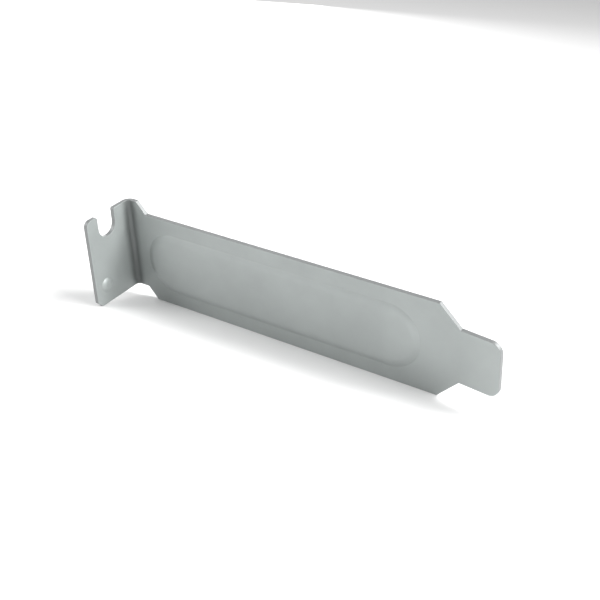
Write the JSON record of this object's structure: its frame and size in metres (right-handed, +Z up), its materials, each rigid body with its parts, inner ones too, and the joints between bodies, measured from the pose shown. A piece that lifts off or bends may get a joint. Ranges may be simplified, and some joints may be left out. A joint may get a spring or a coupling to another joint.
{
  "type": "expansion slot cover bracket",
  "caption": "Folded sheet-steel blanking cover for a low-profile computer expansion slot: raised oval panel, right-angled screw tab with an open notch, and a bent tongue.",
  "frame": {"origin": "middle of the ground area under the cover's box, as it rests on its long lower edge and on the tab's lower corner", "axes": "+X along the plate from the tab to the tongue, -Y out of the plate's front face on the side of the tab, +Z up; the plate leans forward by 12.8 degrees, as it comes to rest"},
  "size_m": [0.0794, 0.0164, 0.0204],
  "materials": {
    "plated_steel": "satin"
  },
  "bodies": {
    "root": {"slot_cover": "plated_steel"}
  },
  "joints": []
}
